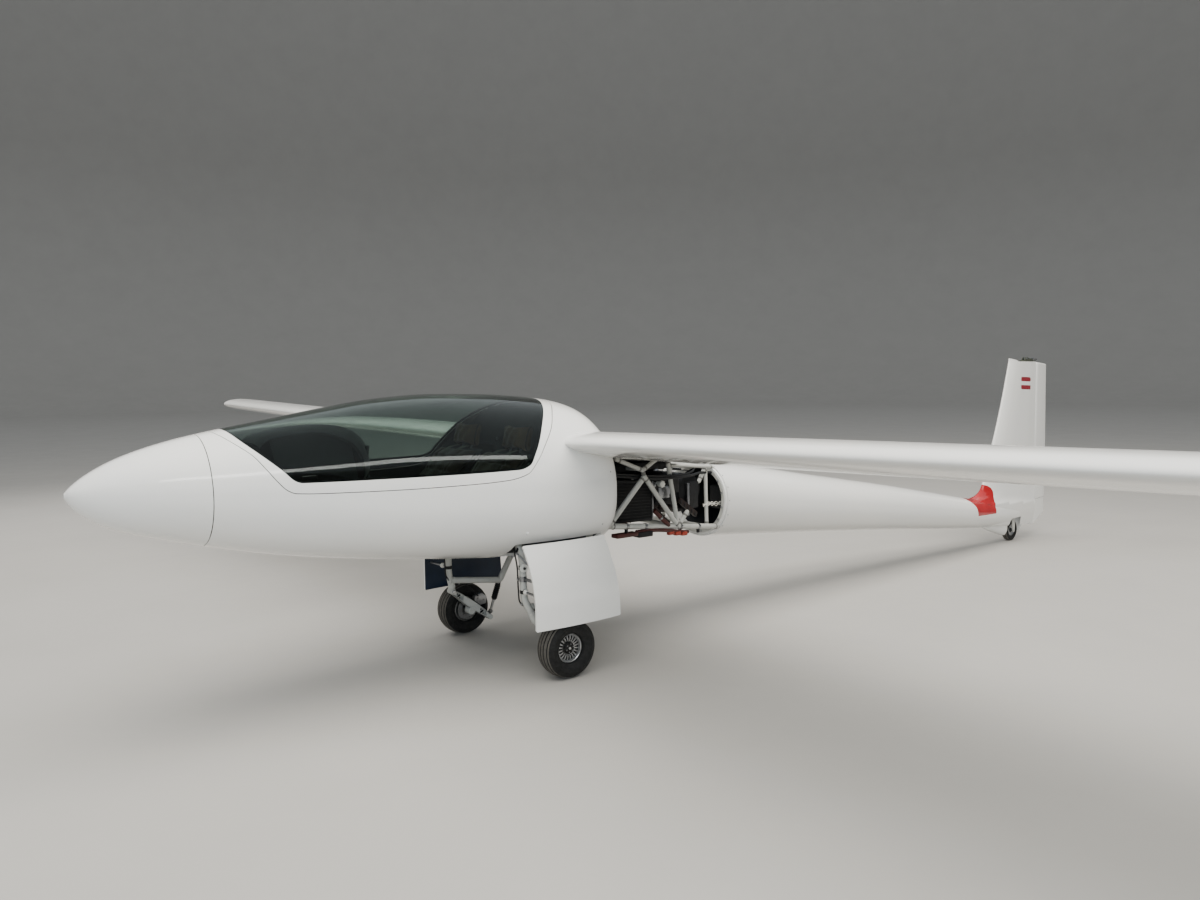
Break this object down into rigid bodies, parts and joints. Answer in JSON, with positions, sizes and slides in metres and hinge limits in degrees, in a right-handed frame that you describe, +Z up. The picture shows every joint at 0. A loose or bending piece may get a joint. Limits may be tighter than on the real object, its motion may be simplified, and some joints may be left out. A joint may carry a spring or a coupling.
{
  "type": "two-seat motor glider",
  "caption": "Side-by-side motor glider parked on its retractable main wheels and tail wheel, with its engine bay cowls, tailplane and outer wing panels off.",
  "frame": {"origin": "on the ground under the middle of the bounding box", "axes": "-Y towards the nose, +X towards the left wing, +Z up"},
  "size_m": [11.3994, 8.42, 1.7343],
  "materials": {
    "gelcoat": "gloss white gelcoat",
    "canopy_glass": "clear, faint green-grey tint",
    "cockpit_dark": "matt dark lining",
    "instrument_black": "matt black",
    "upholstery": "woven brown cloth",
    "headrest_cloth": "woven tan cloth",
    "frame_tube": "light grey paint",
    "firewall_sheet": "dull sheet",
    "engine_metal": "dark cast metal",
    "radiator_black": "satin black",
    "blade_composite": "satin dark grey",
    "fitting_metal": "dull bare metal",
    "strut_black": "satin black",
    "tyre_rubber": "worn black",
    "wheel_alloy": "cast, satin",
    "brake_panel": "satin light"
  },
  "bodies": {
    "airframe": {"fuselage_front": "gelcoat", "cockpit_floor": "cockpit_dark", "rear_bulkhead": "cockpit_dark", "instrument_panel": "instrument_black", "centre_console": "cockpit_dark", "seat_left": "upholstery", "seat_right": "upholstery", "headrest_left": "headrest_cloth", "headrest_right": "headrest_cloth", "control_stick_left": "instrument_black", "control_stick_right": "instrument_black", "bay_frame": "frame_tube", "firewall": "firewall_sheet", "engine": "engine_metal", "radiator_left": "radiator_black", "radiator_right": "radiator_black", "tail_boom": "gelcoat", "tailplane_fitting": "fitting_metal", "wing_centre": "gelcoat", "gear_leg_left": "frame_tube", "gear_leg_right": "frame_tube", "gear_door_left": "gelcoat", "gear_door_right": "gelcoat", "gear_arm_left": "frame_tube", "gear_arm_right": "frame_tube", "shock_strut_left": "strut_black", "shock_strut_right": "strut_black", "brake_caliper_left": "fitting_metal", "brake_caliper_right": "fitting_metal"},
    "nose_cone": {"nose_cone": "gelcoat"},
    "propeller": {"propeller": "blade_composite"},
    "canopy": {"canopy_frame": "gelcoat", "canopy_glass": "canopy_glass"},
    "main_wheel_left": {"main_tyre_left": "tyre_rubber", "main_hub_left": "wheel_alloy"},
    "main_wheel_right": {"main_tyre_right": "tyre_rubber", "main_hub_right": "wheel_alloy"},
    "tail_steering": {"tail_fork": "frame_tube"},
    "tail_wheel": {"tail_tyre": "tyre_rubber", "tail_hub": "wheel_alloy"},
    "rudder": {"rudder": "gelcoat"},
    "flap_left": {"flap_left": "gelcoat"},
    "flap_right": {"flap_right": "gelcoat"},
    "airbrake_left": {"airbrake_left": "brake_panel"},
    "airbrake_right": {"airbrake_right": "brake_panel"}
  },
  "joints": [
    {"name": "nose_cone_slide", "type": "slide", "parent": "airframe", "child": "nose_cone", "axis": [0, -1, 0], "range_m": [0, 0.18]},
    {"name": "propeller_spin", "type": "hinge", "parent": "airframe", "child": "propeller", "pos_m": [0, -3.722, 1.073], "axis": [0, 1, 0], "continuous": true},
    {"name": "canopy_hinge", "type": "hinge", "parent": "airframe", "child": "canopy", "pos_m": [0, -3.628, 1.364], "axis": [1, 0, 0], "range_deg": [0, 45]},
    {"name": "main_wheel_left_spin", "type": "hinge", "parent": "airframe", "child": "main_wheel_left", "pos_m": [0.552, -2.01, 0.158], "axis": [1, 0, 0], "continuous": true},
    {"name": "main_wheel_right_spin", "type": "hinge", "parent": "airframe", "child": "main_wheel_right", "pos_m": [-0.552, -2.01, 0.158], "axis": [1, 0, 0], "continuous": true},
    {"name": "tail_wheel_steer", "type": "hinge", "parent": "airframe", "child": "tail_steering", "pos_m": [0, 3.56, 0.15], "axis": [0, 0, 1], "range_deg": [-30, 30]},
    {"name": "tail_wheel_spin", "type": "hinge", "parent": "tail_steering", "child": "tail_wheel", "pos_m": [0, 3.572, 0.1], "axis": [1, 0, 0], "continuous": true},
    {"name": "rudder_hinge", "type": "hinge", "parent": "airframe", "child": "rudder", "pos_m": [0, 3.978, 0.9], "axis": [0, 0, 1], "range_deg": [-30, 30]},
    {"name": "flap_left_hinge", "type": "hinge", "parent": "airframe", "child": "flap_left", "pos_m": [0.65, -1.12904, 1.12491], "axis": [-0.9996, 0.014, -0.0242], "range_deg": [-10, 16]},
    {"name": "flap_right_hinge", "type": "hinge", "parent": "airframe", "child": "flap_right", "pos_m": [-0.65, -1.12904, 1.12491], "axis": [-0.9996, -0.014, 0.0242], "range_deg": [-10, 16]},
    {"name": "airbrake_left_slide", "type": "slide", "parent": "airframe", "child": "airbrake_left", "axis": [0, 0.1449, 0.9895], "range_m": [0, 0.08]},
    {"name": "airbrake_right_slide", "type": "slide", "parent": "airframe", "child": "airbrake_right", "axis": [0, 0.1449, 0.9895], "range_m": [0, 0.08]}
  ],
  "couplings": [
    {"joint": "tail_wheel_steer", "follows": "rudder_hinge", "ratio": 1},
    {"joint": "flap_right_hinge", "follows": "flap_left_hinge", "ratio": 1},
    {"joint": "airbrake_right_slide", "follows": "airbrake_left_slide", "ratio": 1}
  ]
}
